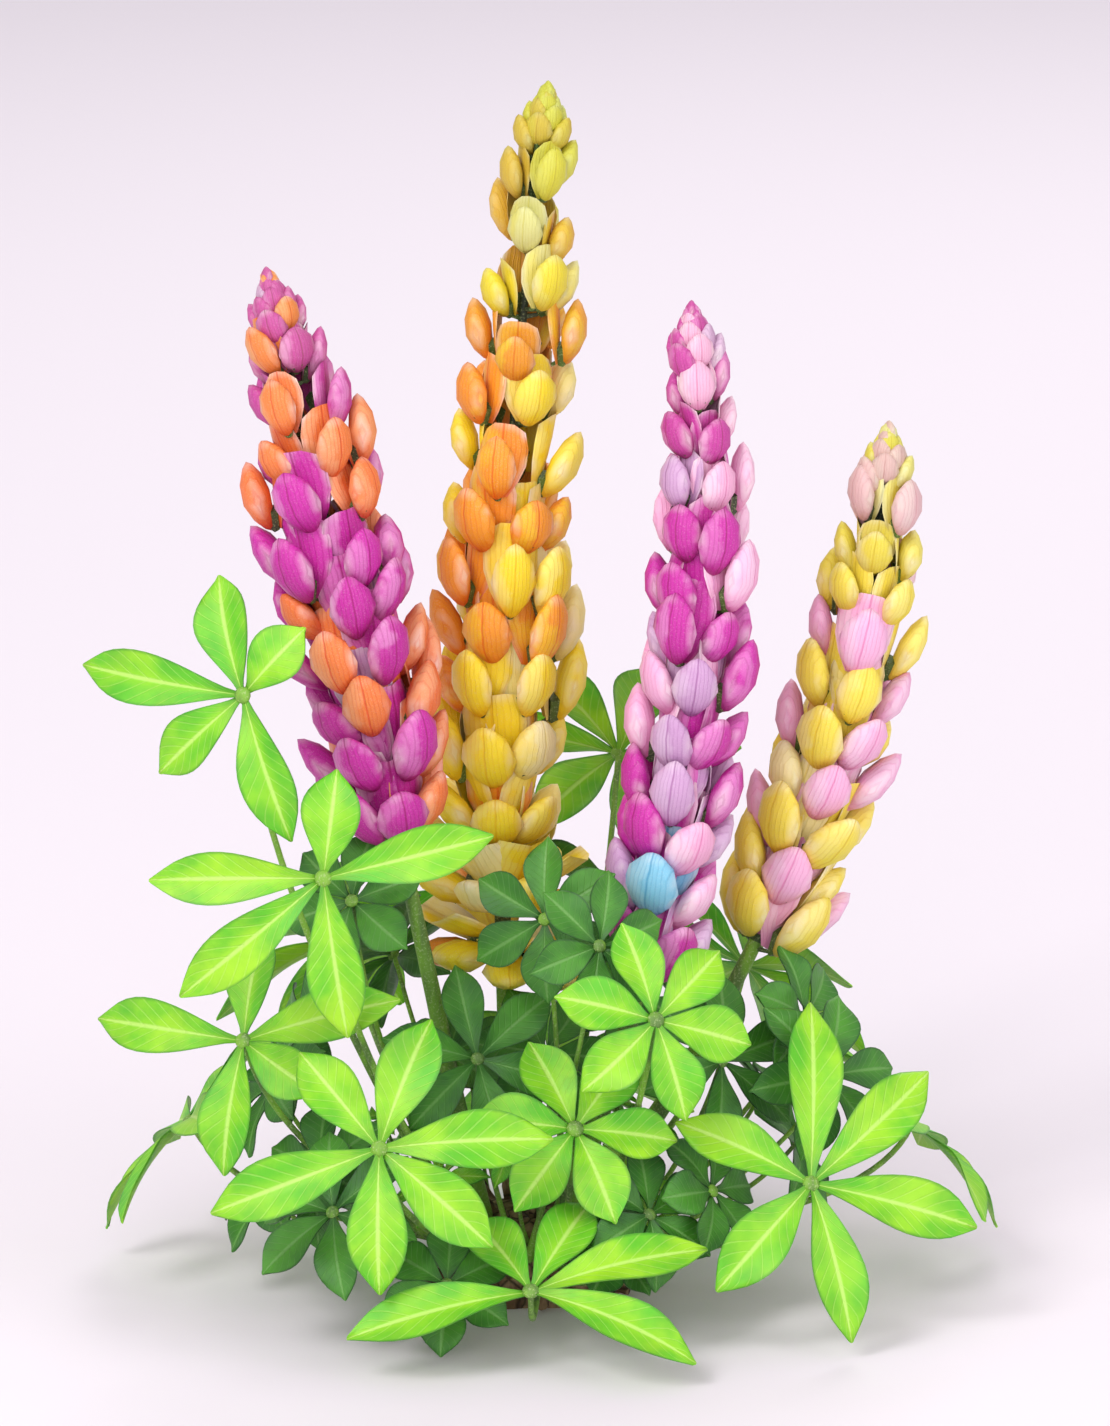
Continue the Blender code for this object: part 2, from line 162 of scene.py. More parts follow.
class Board:
    """The node tree of one material, with the Principled shader already on it."""

    def __init__(self, name: str, roughness: float) -> None:
        """Starts a material.

        Args:
            name: The material's name.
            roughness: The roughness where nothing varies it.
        """
        self.material = bpy.data.materials.new(name)
        self.material.use_nodes = True
        self.tree = self.material.node_tree
        self.shader = self.tree.nodes["Principled BSDF"]
        self.shader.inputs["Roughness"].default_value = roughness

    def feed(
        self, socket: bpy.types.NodeSocket, value: Number | Colour | Vector
    ) -> None:
        """Links a field to a socket, or sets a constant on it.

        Args:
            socket: The socket.
            value: The field, number, colour or vector that it takes.
        """
        if isinstance(value, Field):
            self.tree.links.new(value.socket, socket)
        elif isinstance(value, (tuple, Vector)):
            fits = len(socket.default_value)
            socket.default_value = (*value, 1.0)[:fits]
        else:
            socket.default_value = value

    def node(self, kind: str, out: str | int, settings: dict, inputs: dict) -> Field:
        """Adds a node.

        Args:
            kind: The node's type name.
            out: The output that is wanted, by name or number.
            settings: The node's own properties.
            inputs: The values or fields of its inputs, by name or number.

        Returns:
            The field that comes out of it.
        """
        made = self.tree.nodes.new(kind)
        for name, value in settings.items():
            setattr(made, name, value)
        for name, value in inputs.items():
            self.feed(made.inputs[name], value)
        return Field(self, made.outputs[out])

    def maths(self, operation: str, first: Number, second: Number) -> Field:
        """Adds a Math node and returns what comes out of it."""
        settings = {"operation": operation}
        return self.node("ShaderNodeMath", 0, settings, {0: first, 1: second})

    def mix(
        self,
        factor: Number,
        first: Field | Colour,
        second: Field | Colour,
        blend: str = "MIX",
    ) -> Field:
        """Mixes two colours: the first where factor is 0, the second where it is 1."""
        settings = {"data_type": "RGBA", "blend_type": blend}
        return self.node("ShaderNodeMix", 2, settings, {0: factor, 6: first, 7: second})

    def ramp(self, factor: Field, colours: tuple[Colour, ...]) -> Field:
        """Picks one of some colours, in equal steps with no blending.

        Args:
            factor: Which one, from 0 for the first to 1 for the last.
            colours: The colours.

        Returns:
            The colour that was picked.
        """
        picked = self.node("ShaderNodeValToRGB", "Color", {}, {"Fac": factor})
        steps = picked.socket.node.color_ramp
        steps.interpolation = "CONSTANT"
        for number, colour in enumerate(colours):
            if number < 2:
                stop = steps.elements[number]
                stop.position = number / len(colours)
            else:
                stop = steps.elements.new(number / len(colours))
            stop.color = (*colour, 1.0)
        return picked

    def attribute(self, name: str) -> Field:
        """Reads a number that the mesh holds at each of its points."""
        return self.node("ShaderNodeAttribute", "Fac", {"attribute_name": name}, {})

    def grain(
        self, scale: float, detail: float = 3.0, stretch: Vector | None = None
    ) -> Field:
        """Noise on Object coordinates.

        Args:
            scale: How fine it is, in lumps per metre.
            detail: How many finer layers it has.
            stretch: How much finer it is along each axis, if not the same all ways.

        Returns:
            The noise, from 0 to 1.
        """
        place = self.node("ShaderNodeTexCoord", "Object", {}, {})
        if stretch is not None:
            inputs = {"Vector": place, "Scale": stretch}
            place = self.node("ShaderNodeMapping", "Vector", {}, inputs)
        inputs = {"Vector": place, "Scale": scale, "Detail": detail}
        return self.node("ShaderNodeTexNoise", "Fac", {}, inputs)

    def finish(self, colour: Field, height: Field, depth: float) -> Material:
        """Plugs in the colour and a bump.

        Args:
            colour: The base colour.
            height: The bump's height, from 0 to 1.
            depth: How deep the bump is, in metres.

        Returns:
            The finished material.
        """
        self.tree.links.new(colour.socket, self.shader.inputs["Base Color"])
        inputs = {"Height": height, "Strength": BUMP_STRENGTH, "Distance": depth}
        bump = self.node("ShaderNodeBump", "Normal", {}, inputs)
        self.tree.links.new(bump.socket, self.shader.inputs["Normal"])
        return self.material


@dataclass(frozen=True)
class PetalColour:
    """A petal's own colour and the one that it flushes with."""

    main: Colour
    blush: Colour


@dataclass(frozen=True)
class PetalFinish:
    """Silky petals in four colours, flushed, pale at the rim, green while in bud."""

    name: str
    palette: tuple[PetalColour, PetalColour, PetalColour, PetalColour]
    unripe: Colour = (0.42, 0.50, 0.05)
    pale: Colour = (0.90, 0.84, 0.80)
    roughness: float = 0.52
    blush_grain: float = 48.0
    rim_grain: float = 70.0
    vein_grain: float = 130.0
    nap_grain: float = 1500.0
    veins_across: float = 34.0
    bump_depth: float = 0.0007

    def material(self) -> Material:
        """Builds the material.

        Returns:
            The material.
        """
        board = Board(self.name, self.roughness)
        along = board.attribute("along")
        across = board.attribute("across")
        tone = board.attribute("tone")
        main = board.ramp(tone, tuple(petal.main for petal in self.palette))
        blush = board.ramp(tone, tuple(petal.blush for petal in self.palette))
        deep = board.mix(1.0, main, main, "MULTIPLY")
        clouds = board.grain(self.blush_grain) * 7.0
        streaks = (across * 2.6 + clouds).sine().between(0.1, 1.0)
        flush = board.attribute("flush")
        colour = board.mix(streaks * (0.30 + flush * 0.50), main, blush)
        colour = board.mix((flush - 0.45) * 0.35, colour, deep)
        side = abs(across)
        rim = side.between(0.70, 1.0) * 0.42 + along.between(0.86, 1.0) * 0.30
        worn = board.grain(self.rim_grain, 2.0).between(0.35, 0.60)
        colour = board.mix(rim * worn, colour, self.pale)
        wander = board.grain(self.vein_grain) * 4.0
        veins = (across * self.veins_across + wander).sine().between(0.50, 1.0)
        colour = board.mix(veins * 0.22, colour, deep)
        nap = board.grain(self.nap_grain, 2.0)
        colour = board.mix(nap.between(0.50, 0.75) * 0.12, colour, self.pale)
        colour = board.mix((1.0 - along).between(0.60, 1.0) * 0.80, colour, deep)
        seam = (1.0 - side).between(0.93, 0.99)
        colour = board.mix(seam * 0.60, colour, deep)
        colour = board.mix(board.attribute("unripe"), colour, self.unripe)
        height = veins * 0.4 + nap * 0.35 + seam * -0.9
        return board.finish(colour, height, self.bump_depth)


@dataclass(frozen=True)
class LeafFinish:
    """Fresh leaf green: pale midrib, slanting veins, a darker rim, a painted highlight
    down the middle and painted shade in streaks and at the foot.
    """

    name: str
    green: Colour = (0.105, 0.50, 0.010)
    # A lighter green, for the random clouds and for the painted highlight down the
    # middle.
    light_green_and_highlight: Colour = (0.37, 0.71, 0.016)
    shade: Colour = (0.030, 0.22, 0.012)
    rib: Colour = (0.52, 0.80, 0.16)
    roughness: float = 0.5
    cloud_grain: float = 38.0
    streak_grain: float = 60.0
    fine_grain: float = 300.0
    streaks_along: float = 17.0
    veins_along: float = 62.0
    vein_slant: float = 15.0
    bump_depth: float = 0.0008

    def material(self) -> Material:
        """Builds the material.

        Returns:
            The material.
        """
        board = Board(self.name, self.roughness)
        along = board.attribute("along")
        side = abs(board.attribute("across"))
        fresh = board.attribute("fresh")
        clouds = board.grain(self.cloud_grain, 4.0).between(0.30, 0.70)
        wander = board.grain(self.streak_grain) * 2.0
        streaks = (along * self.streaks_along + wander).sine().between(-0.2, 1.0)
        colour = board.mix(clouds * (0.55 + fresh * 0.4), self.green, self.light_green_and_highlight)
        # Painted highlight: a lighter, yellower band down the middle of each leaflet.
        colour = board.mix((1.0 - side).between(0.45, 1.0) * 0.45, colour, self.light_green_and_highlight)
        # Painted shade: darker streaks towards the edges, and a darker foot where the
        # leaflets meet at the hub.
        colour = board.mix(streaks * side * 0.22, colour, self.shade)
        colour = board.mix((1.0 - along).between(0.70, 1.0) * 0.45, colour, self.shade)
        slant = side * self.vein_slant
        veins = (along * self.veins_along - slant).sine().between(0.80, 1.0)
        colour = board.mix(veins * 0.25, colour, self.rib)
        midrib = (1.0 - side).between(0.88, 0.97)
        colour = board.mix(midrib * 0.8, colour, self.rib)
        colour = board.mix(side.between(0.86, 1.0) * 0.65, colour, self.shade)
        height = veins * -0.35 + midrib * -0.6 + board.grain(self.fine_grain) * 0.25
        return board.finish(colour, height, self.bump_depth)


@dataclass(frozen=True)
class StalkFinish:
    """Green stalks, ribbed lengthwise, flushed darker in streaks, downy."""

    name: str
    green: Colour = (0.20, 0.42, 0.035)
    flush: Colour = (0.07, 0.12, 0.05)
    down: Colour = (0.50, 0.62, 0.28)
    roughness: float = 0.6
    streak_grain: float = 120.0
    down_grain: float = 900.0
    rib_grain: float = 420.0
    bump_depth: float = 0.0006

    def material(self) -> Material:
        """Builds the material.

        Returns:
            The material.
        """
        board = Board(self.name, self.roughness)
        lengthwise = Vector((1.0, 1.0, 0.10))
        streaks = board.grain(self.streak_grain, 3.0, lengthwise).between(0.40, 0.66)
        down = board.grain(self.down_grain, 2.0).between(0.52, 0.70)
        colour = board.mix(streaks * 0.7, self.green, self.flush)
        colour = board.mix(down * 0.45, colour, self.down)
        ribs = board.grain(self.rib_grain, 2.0, Vector((1.0, 1.0, 0.05)))
        return board.finish(colour, ribs * 0.7 + down * 0.3, self.bump_depth)


@dataclass(frozen=True)
class BarkFinish:
    """Knotty brown rootstock: fibrous, cracked, paler where the fibres are worn."""

    name: str
    brown: Colour = (0.14, 0.075, 0.035)
    pale: Colour = (0.42, 0.29, 0.16)
    crack: Colour = (0.028, 0.016, 0.010)
    roughness: float = 0.88
    fibre_grain: float = 150.0
    crack_scale: float = 95.0
    bump_depth: float = 0.003

    def material(self) -> Material:
        """Builds the material.

        Returns:
            The material.
        """
        board = Board(self.name, self.roughness)
        fibres = board.grain(self.fibre_grain, 6.0, Vector((1.0, 1.0, 0.35)))
        place = board.node("ShaderNodeTexCoord", "Object", {}, {})
        cracks = board.node(
            "ShaderNodeTexVoronoi",
            "Distance",
            {"feature": "DISTANCE_TO_EDGE"},
            {"Vector": place, "Scale": self.crack_scale},
        ).between(0.0, 0.10)
        colour = board.mix(fibres.between(0.35, 0.72), self.brown, self.pale)
        colour = board.mix((1.0 - cracks) * 0.75, colour, self.crack)
        return board.finish(colour, cracks * 0.6 + fibres * 0.5, self.bump_depth)


@dataclass(frozen=True)
class PlainFinish:
    """The studio's pale paper-like floor."""

    name: str
    colour: Colour
    roughness: float = 0.9

    def material(self) -> Material:
        """Builds the material.

        Returns:
            The material.
        """
        board = Board(self.name, self.roughness)
        board.shader.inputs["Base Color"].default_value = (*self.colour, 1.0)
        return board.material


def bezier(start: Vector, bend: Vector, end: Vector, t: float) -> Vector:
    """A point on the quadratic curve that a stem or a petiole follows."""
    return start * (1 - t) ** 2 + bend * (2 * t * (1 - t)) + end * t**2


def tangent(start: Vector, bend: Vector, end: Vector, t: float) -> Vector:
    """The way that curve runs at a share of its length."""
    return ((bend - start) * (1 - t) + (end - bend) * t).normalized()


def turned_to(origin: Vector, direction: Vector, azimuth: float = 0.0) -> Matrix:
    """A frame at origin whose Z runs along direction, turned about it by azimuth."""
    turn = direction.to_track_quat("Z", "Y").to_matrix().to_4x4()
    return Matrix.Translation(origin) @ turn @ Matrix.Rotation(azimuth, 4, "Z")


def new_shape(*layers: str) -> Shape:
    """An empty bmesh whose points hold some numbers of their own.

    Args:
        layers: What the numbers are called.

    Returns:
        The bmesh.
    """
    shape = bmesh.new()
    for name in layers:
        shape.verts.layers.float.new(name)
    return shape


def mark(shape: Shape, verts: list[bmesh.types.BMVert], **values: float) -> None:
    """Writes the same numbers on some points, for the shaders to read.

    Args:
        shape: The bmesh that the points are in.
        verts: The points.
        values: The numbers, by what they are called.
    """
    for name, value in values.items():
        layer = shape.verts.layers.float[name]
        for vert in verts:
            vert[layer] = value


def sweep(shape: Shape, path: list[Vector], radii: list[float], sides: int) -> None:
    """Draws a round section along a path and closes both ends.

    Args:
        shape: The bmesh to add it to.
        path: The points of its middle line.
        radii: Its radius at each of them.
        sides: How many sides the section has.
    """
    section = bmesh.ops.create_circle(shape, segments=sides, radius=1.0)["verts"]
    turn = Vector((0, 0, 1)).rotation_difference(path[1] - path[0])
    before: Matrix | None = None
    way = path[1] - path[0]
    for number, (point, radius) in enumerate(zip(path, radii)):
        if number:
            here = path[min(number + 1, len(path) - 1)] - path[number - 1]
            turn = way.rotation_difference(here) @ turn
            way = here
        frame = Matrix.Translation(point) @ turn.to_matrix().to_4x4()
        frame = frame @ Matrix.Scale(radius, 4)
        if before is None:
            bmesh.ops.transform(shape, matrix=frame, verts=section)
            around = (edge for vert in section for edge in vert.link_edges)
            edges = list(dict.fromkeys(around))
            bmesh.ops.contextual_create(shape, geom=edges)
        else:
            grown = bmesh.ops.extrude_edge_only(shape, edges=edges)["geom"]
            section = [part for part in grown if isinstance(part, bmesh.types.BMVert)]
            edges = [
                part
                for part in grown
                if isinstance(part, bmesh.types.BMEdge)
                and part.verts[0] in section
                and part.verts[1] in section
            ]
            bmesh.ops.transform(shape, matrix=frame @ before.inverted(), verts=section)
        before = frame
    bmesh.ops.contextual_create(shape, geom=edges)


def leaning(tilt: float) -> Matrix:
    """A turn that lays Z down towards +X until it stands tilt above the level."""
    return Matrix.Rotation(math.pi / 2 - tilt, 4, "Y")


def thin_sheet(
    shape: Shape,
    cells: tuple[int, int],
    thickness: float,
    point: Callable[[float, float], Vector],
    **values: float,
) -> list[bmesh.types.BMVert]:
    """A petal or a leaflet: a grid bent into shape and then given a wall.

    Args:
        shape: The bmesh to add it to, whose points hold their places along and across.
        cells: How many cells it has across and along.
        thickness: The thickness of the wall.
        point: Gives a point from its places across (-1 to 1) and along (0 to 1).
        values: The other numbers to write on its points.

    Returns:
        All its points.
    """
    columns, rows = cells
    made = bmesh.ops.create_grid(shape, x_segments=columns, y_segments=rows, size=1.0)
    sheet = made["verts"]
    mark(shape, sheet, **values)
    layers = shape.verts.layers.float
    for vert in sheet:
        across, along = vert.co.x, 0.5 * (vert.co.y + 1)
        vert[layers["along"]], vert[layers["across"]] = along, across
        vert.co = point(across, along)
    faces = list(dict.fromkeys(face for vert in sheet for face in vert.link_faces))
    known = set(shape.verts)
    bmesh.ops.solidify(shape, geom=faces, thickness=thickness)
    return sheet + [vert for vert in shape.verts if vert not in known]


def piece(
    name: str,
    shape: Shape,
    materials: list[Material],
    stands_for: str | None = None,
    crease: float = STALK_CREASE,
) -> bpy.types.Object:
    """Makes a mesh into a piece of the plant.

    Args:
        name: The piece's name.
        shape: Its mesh, in place.
        materials: The materials of its faces, by index.
        stands_for: The CAD node that it replaces, if any.
        crease: The angle past which an edge stays sharp, in degrees.

    Returns:
        The piece's object.
    """
    bmesh.ops.recalc_face_normals(shape, faces=shape.faces)
    mesh = bpy.data.meshes.new(name)
    shape.to_mesh(mesh)
    shape.free()
    mesh.shade_smooth()
    mesh.set_sharp_from_angle(angle=math.radians(crease))
    made = bpy.data.objects.new(name, mesh)
    bpy.context.scene.collection.objects.link(made)
    for material in materials:
        mesh.materials.append(material)
    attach(made, "root")
    if stands_for is not None:
        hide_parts(stands_for)
    log.info("%s: %d faces", name, len(mesh.polygons))
    return made


@dataclass(frozen=True)
class Floret:
    """One pea flower on its stalk: a folded pair of wings under an upright banner.

    In its own frame, place, Z runs out along the wings from the cup, +X is their lower,
    outer side and Y runs across. The stalk's points are in the plant's frame.
    """

    place: Matrix
    stalk: tuple[Vector, ...]
    length: float
    width: float
    opening: float
    wings: Tone
    banner: Tone
    unripe: float
    flush: float

    cells: tuple[int, int] = (4, 4)
    thickness: float = 0.0006
    wing_depth: float = 0.38
    wing_curl: float = 0.16
    wing_ridge: float = 1.32
    wing_cheek: float = 0.80
    banner_gap: float = 0.24
    cup_share: float = 0.24
    cup_foot: float = 0.0016
    cup_tooth: float = 0.35
    stalk_radii: tuple[float, ...] = (0.0015, 0.0011, 0.0011)

    def add_wings(self, shape: Shape) -> None:
        """The two wings: a pouch, keeled in front, full past its middle, tip curled up.

        Args:
            shape: The bmesh of the petals.
        """
        made = bmesh.ops.create_uvsphere(shape, u_segments=10, v_segments=6, radius=1.0)
        pouch = made["verts"]
        mark(shape, pouch, tone=self.wings.value, unripe=self.unripe, flush=self.flush)
        layers = shape.verts.layers.float
        for vert in pouch:
            deep, across, along = vert.co.x, vert.co.y, 0.5 * (vert.co.z + 1)
            vert[layers["along"]], vert[layers["across"]] = along, across
            fullness = 0.48 + 0.70 * math.sin(math.pi * min(1.0, 0.08 + 0.64 * along))
            fullness *= 1 - 0.35 * along**6
            keel = 1.0
            if abs(across) < 0.02:
                keel = self.wing_ridge
            elif deep > 0.5 * abs(across):
                keel = self.wing_cheek
            belly = self.wing_depth * self.width * deep * fullness
            curl = self.length * (0.06 - self.wing_curl * along**2)
            vert.co = (
                belly * (keel if deep > 0 else 0.8) + curl,
                0.50 * self.width * across * fullness * min(1.0, keel + 0.1),
                along * self.length,
            )
        bmesh.ops.transform(shape, matrix=self.place, verts=pouch)

    def banner_point(self, across: float, along: float) -> Vector:
        """A point of the banner, which is creased and turns its sides back.

        Args:
            across: Its place from side to side, -1 to 1.
            along: Its place from foot to tip, 0 to 1.

        Returns:
            The point, in the floret's own frame.
        """
        half = self.width * (0.14 + 0.56 * math.sin(math.pi * (0.05 + 0.68 * along)))
        half *= 0.70 + 0.30 * self.opening
        flare = self.opening * self.length * (0.26 * along + 0.16 * along**2)
        fold = (0.75 * self.opening - 0.35) * half * abs(across) ** 1.5
        foot = 0.16 * self.width * (1 - along)
        tip = 1 + 0.10 * self.opening * abs(across) - 0.26 * across**2
        back = -self.banner_gap * self.width - flare - fold + foot
        return Vector((back, across * half, along * 0.98 * self.length * tip))

    def add_banner(self, shape: Shape) -> None:
        """The banner, standing up behind the wings and flushed where they are not.

        Args:
            shape: The bmesh of the petals.
        """
        sheet = thin_sheet(
            shape,
            self.cells,
            self.thickness,
            self.banner_point,
            tone=self.banner.value,
            unripe=self.unripe,
            flush=1 - self.flush,
        )
        bmesh.ops.transform(shape, matrix=self.place, verts=sheet)

    def add_green(self, shape: Shape) -> None:
        """The flower's stalk and its toothed cup.

        Args:
            shape: The bmesh of the cups.
        """
        sweep(shape, list(self.stalk), list(self.stalk_radii), 5)
        height = self.cup_share * self.length
        cup = bmesh.ops.create_cone(
            shape,
            cap_ends=True,
            segments=8,
            radius1=self.cup_foot,
            radius2=0.33 * self.width,
            depth=height,
            matrix=Matrix.Translation((0, 0, 0.36 * height)),
        )
        rim = [vert for vert in cup["verts"] if vert.co.z > 0.5 * height]
        rim.sort(key=lambda vert: math.atan2(vert.co.y, vert.co.x))
        for vert in rim[1::2]:
            vert.co.z += self.cup_tooth * height
        bmesh.ops.transform(shape, matrix=self.place, verts=cup["verts"])


@dataclass(frozen=True)
class Spike:
    """One flower spike: stem, staggered whorls of florets and a cone of buds.

    A share is a place along the stem, 0 at its foot and 1 at its tip, and a height is a
    place up the flower head in the same way. The lower whorls have the first number of
    florets in whorl and the upper ones the second; full_whorls is how many have the
    first, for each tier. odd_one is the side on which one low floret has the fourth
    colour.
    """

    name: str
    petals: PetalFinish
    foot: Vector
    bend: Vector
    tip: Vector
    first_flower: float
    tiers: int
    radius: float
    weights: tuple[float, float, float]
    banner_swap: float
    tip_unripe: float
    seed: int
    whorl: tuple[int, int] = (6, 5)
    droop: float = 0.0
    odd_one: Vector | None = None

    whorls_per_tier: int = 2
    full_whorls: float = 1.1
    lowest_tilt: float = math.radians(55)
    highest_tilt: float = math.radians(70)
    stalk_rise: float = math.radians(14)
    base_radius: float = 0.0052
    tip_radius: float = 0.0016
    stem_steps: int = 28
    floret_length: float = 0.0420
    length_taper: float = 0.0155
    floret_width: float = 0.0238
    width_taper: float = 0.0080
    shortest_stalk: float = 0.0035
    stalk_inset: float = 0.0006
    root_depth: float = 0.004
    tilt_play: tuple[float, float] = (-14, 9)
    size_play: tuple[float, float] = (0.86, 1.14)
    width_play: tuple[float, float] = (0.90, 1.10)
    turn_play: tuple[float, float] = (-0.20, 0.20)
    share_play: tuple[float, float] = (-0.010, 0.010)
    droop_fade: float = 5.5
    bud_start: float = 0.62
    buds: int = 19
    bud_length: float = 0.034
    bud_turn: float = 2.39996

    def at(self, share: float) -> Vector:
        """A point on the stem's middle line."""
        return bezier(self.foot, self.bend, self.tip, share)

    def way(self, share: float) -> Vector:
        """The way the stem runs there."""
        return tangent(self.foot, self.bend, self.tip, share)

    def stem_radius(self, share: float) -> float:
        """The stem's radius there."""
        return self.base_radius + (self.tip_radius - self.base_radius) * share

    def whorl_share(self, index: int) -> float:
        """Where a whorl sits along the stem."""
        step = (1 - self.first_flower) / (self.tiers * self.whorls_per_tier)
        return self.first_flower + step * (index + 0.15)

    def spread(self, height: float) -> float:
        """The flower head's radius by height, as a share of its widest."""
        return 1 - 0.18 * (1 - height) ** 4 - 0.60 * height**2.2

    def tone(self, dice: random.Random) -> Tone:
        """Throws for one of the spike's petal colours, by their weights."""
        return dice.choices((Tone.FIRST, Tone.SECOND, Tone.THIRD), self.weights)[0]

    def build_stem(self, stalk: Material, dark: Material) -> None:
        """The stem, from inside the crown to the tip.

        Args:
            stalk: Its finish below the flowers.
            dark: Its darker finish among them: a dark flush of its own, with painted
                shade between the florets.
        """
        shape = new_shape()
        shares = [number / self.stem_steps for number in range(self.stem_steps + 1)]
        path = [self.at(share) for share in shares]
        path[0] = self.foot + (self.foot - self.bend).normalized() * self.root_depth
        swell = [1 + 0.35 * (1 - share) ** 14 for share in shares]
        radii = [self.stem_radius(share) * more for share, more in zip(shares, swell)]
        sweep(shape, path, radii, 14)
        for face in shape.faces:
            middle = face.calc_center_median()
            face.material_index = int(middle.z > self.at(self.first_flower).z)
        name, node = f"{self.name}_green_stem", f"{self.name}_stem"
        piece(name, shape, [stalk, dark], node)

    def floret(self, share: float, azimuth: float, dice: random.Random) -> Floret:
        """One floret, standing up from the end of its level stalk.

        Args:
            share: How far along the stem it grows.
            azimuth: Which side of the stem it grows from.
            dice: The throws that make each floret a little different.

        Returns:
            The floret.
        """
        height = max(0.0, (share - self.first_flower) / (1 - self.first_flower))
        tilt = self.lowest_tilt + (self.highest_tilt - self.lowest_tilt) * height
        tilt += math.radians(dice.uniform(*self.tilt_play))
        tilt -= self.droop * max(0.0, 1 - self.droop_fade * height)
        size = dice.uniform(*self.size_play)
        length = (self.floret_length - self.length_taper * height**1.6) * size
        width = self.floret_width - self.width_taper * height**2
        width *= dice.uniform(*self.width_play)
        core = self.stem_radius(share) - self.stalk_inset
        # A larger floret also stands further out.
        reach = self.radius * self.spread(height) * (0.19 + 0.90 * size) - core
        stalk = max(self.shortest_stalk, reach - length * math.cos(tilt) - 0.25 * width)
        budded = max(0.0, (height - self.bud_start) / (1 - self.bud_start))
        rise = Vector((math.cos(self.stalk_rise), 0, math.sin(self.stalk_rise)))
        frame = turned_to(self.at(share), self.way(share), azimuth)
        start = Vector((core, 0, 0))
        end = start + rise * stalk
        points = (start, start + rise * 0.75 * stalk, end + Vector((0, 0, 0.002)))
        wings = self.tone(dice)
        banner = self.tone(dice) if dice.random() < self.banner_swap else wings
        return Floret(
            place=frame @ Matrix.Translation(end) @ leaning(tilt),
            stalk=tuple(frame @ point for point in points),
            length=length,
            width=width,
            opening=max(0.15, min(1.0, 1.40 - height)),
            wings=wings,
            banner=banner,
            unripe=self.tip_unripe * budded**1.2,
            flush=dice.random(),
        )

    def florets(self, number: int) -> list[Floret]:
        """The florets of one tier.

        Args:
            number: Which tier, from the lowest.

        Returns:
            The florets, in their places.
        """
        dice = random.Random(self.seed * 100 + number)
        made: list[Floret] = []
        first = number * self.whorls_per_tier
        for index in range(first, first + self.whorls_per_tier):
            share = self.whorl_share(index)
            full = index < self.full_whorls * self.tiers
            count = self.whorl[0] if full else self.whorl[1]
            for turn in range(count):
                step = turn + 0.5 * (index % 2) + dice.uniform(*self.turn_play)
                place = share + dice.uniform(*self.share_play)
                made.append(self.floret(place, 2 * math.pi * step / count, dice))
        if self.odd_one is not None and number == 0:
            nearest = max(
                range(self.whorl[0], len(made)),
                key=lambda one: made[one].place.to_3x3().col[2] @ self.odd_one,
            )
            odd = Tone.FOURTH
            made[nearest] = replace(made[nearest], wings=odd, banner=odd)
        return made

    def build_tier(self, number: int, petal: Material, green: Material) -> None:
        """One tier of flowers: its petals as one piece, its cups and stalks as another.

        Args:
            number: Which tier, from the lowest.
            petal: The finish of the petals.
            green: The finish of the cups and stalks.
        """
        petals, cups = new_shape(*PETAL_LAYERS), new_shape()
        for floret in self.florets(number):
            floret.add_wings(petals)
            floret.add_banner(petals)
            floret.add_green(cups)
        node = f"{self.name}_tier_{number + 1}"
        piece(f"{node}_petals", petals, [petal], node, PETAL_CREASE)
        piece(f"{node}_cups", cups, [green])

    def build_bud_tip(self, petal: Material, green: Material) -> None:
        """The cone of closed buds, set in a spiral and smaller towards the top.

        Args:
            petal: The finish of the buds.
            green: The finish of their bracts.
        """
        dice = random.Random(self.seed)
        way = self.way(1.0)
        buds, bracts = new_shape(*PETAL_LAYERS), new_shape()
        for number in range(self.buds):
            height = number / (self.buds - 1)
            origin = self.tip + way * (self.bud_length * (0.84 * height - 0.16))
            length = 0.0236 - 0.0125 * height
            tone = self.tone(dice)
            lean = leaning(math.radians(54 + 32 * height))
            out = Matrix.Translation((0.0034 * (1 - height), 0, 0))
            bud = Floret(
                place=turned_to(origin, way, number * self.bud_turn) @ out @ lean,
                stalk=(),
                length=length,
                width=0.0148 - 0.0066 * height,
                opening=0.0,
                wings=tone,
                banner=tone,
                unripe=self.tip_unripe * (0.85 + 0.15 * height),
                flush=0.3,
            )
            bud.add_wings(buds)
            bract = bmesh.ops.create_cone(
                bracts,
                cap_ends=True,
                segments=5,
                radius1=0.0024 - 0.0010 * height,
                radius2=0.0002,
                depth=0.62 * length,
                matrix=Matrix.Translation((0.0030, 0, 0.26 * length)),
            )
            bmesh.ops.transform(bracts, matrix=bud.place, verts=bract["verts"])
        reaches = (-0.004, 0.5 * self.bud_length, 0.86 * self.bud_length)
        core = [self.tip + way * reach for reach in reaches]
        sweep(bracts, core, [0.0026, 0.0022, 0.0008], 8)
        node = f"{self.name}_bud_tip"
        piece(f"{node}_buds", buds, [petal], node, PETAL_CREASE)
        piece(f"{node}_bracts", bracts, [green])


